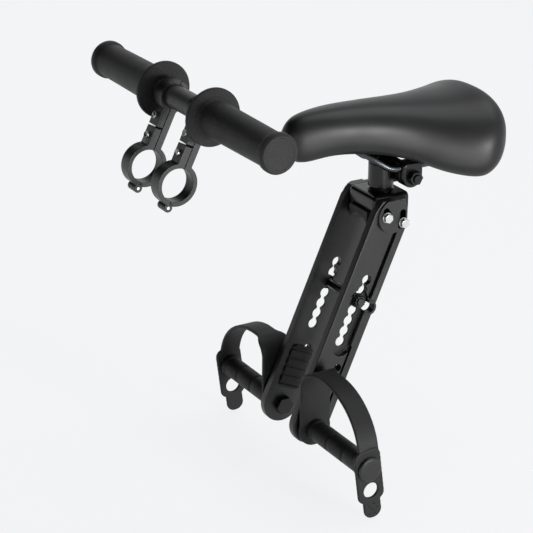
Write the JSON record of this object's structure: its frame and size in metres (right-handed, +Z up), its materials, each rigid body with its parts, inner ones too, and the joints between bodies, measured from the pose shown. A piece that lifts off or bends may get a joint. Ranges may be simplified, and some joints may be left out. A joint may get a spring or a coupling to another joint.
{
  "type": "child bike seat",
  "caption": "Child seat that rests on a bicycle's top tube: small saddle on a clamped post, slanting legs with strapped foot pegs, and a short gripped handlebar for the bicycle's own bar.",
  "frame": {"origin": "on the axis of the bicycle's top tube, under the middle of the head bracket", "axes": "+Z up, +Y toward the bicycle's rear along the top tube, +X toward the rider's left"},
  "size_m": [0.332, 0.379, 0.4273],
  "materials": {
    "black_steel": "gloss black powder coat",
    "black_nylon": "satin black moulded nylon",
    "saddle_skin": "satin black moulded polyurethane",
    "black_rubber": "matte black rubber",
    "grip_rubber": "fine-grained matte black rubber",
    "rail_wire": "dark bright-drawn wire",
    "zinc_steel": "bright zinc plate"
  },
  "bodies": {
    "frame": {"head_bracket": "black_steel", "top_tube_pad": "black_rubber", "seat_post": "black_steel", "saddle_clamp_ring": "black_steel", "leg_bolts": "zinc_steel", "leg_washers": "zinc_steel", "leg_nuts": "zinc_steel", "handlebar_tube": "black_steel", "grip_left": "grip_rubber", "grip_right": "grip_rubber", "bar_clamp_back_left": "black_nylon", "bar_clamp_back_right": "black_nylon", "bar_clamp_upper_cap_left": "black_nylon", "bar_clamp_upper_cap_right": "black_nylon", "bar_clamp_lower_cap_left": "black_nylon", "bar_clamp_lower_cap_right": "black_nylon", "bar_clamp_screws": "zinc_steel", "bar_clamp_hinge_pins": "zinc_steel"},
    "saddle_cradle": {"saddle_inner_cups": "black_steel", "saddle_outer_cups": "black_steel", "saddle_clamp_bolt": "black_steel", "saddle_clamp_nuts": "black_steel"},
    "saddle": {"saddle_cover": "saddle_skin", "saddle_base": "black_nylon", "saddle_rails": "rail_wire"},
    "legs": {"leg_left": "black_nylon", "leg_right": "black_nylon", "frame_pad_left": "black_rubber", "frame_pad_right": "black_rubber", "cross_pin": "black_steel", "cross_pin_washers": "black_steel", "cross_pin_knob": "black_nylon", "peg_axle_left": "black_steel", "peg_axle_right": "black_steel", "peg_sleeve_left": "black_rubber", "peg_sleeve_right": "black_rubber", "peg_button_left": "black_nylon", "peg_button_right": "black_nylon", "foot_strap_left": "black_rubber", "foot_strap_right": "black_rubber"}
  },
  "joints": [
    {"name": "saddle_tilt", "type": "hinge", "parent": "frame", "child": "saddle_cradle", "pos_m": [0, 0.021, 0.057], "axis": [1, 0, 0], "range_deg": [-12, 12]},
    {"name": "saddle_slide", "type": "slide", "parent": "saddle_cradle", "child": "saddle", "axis": [0, 1, 0], "range_m": [-0.012, 0.002]},
    {"name": "leg_angle", "type": "hinge", "parent": "frame", "child": "legs", "pos_m": [0, -0.003, 0.0186], "axis": [1, 0, 0], "range_deg": [-10, 20]}
  ]
}
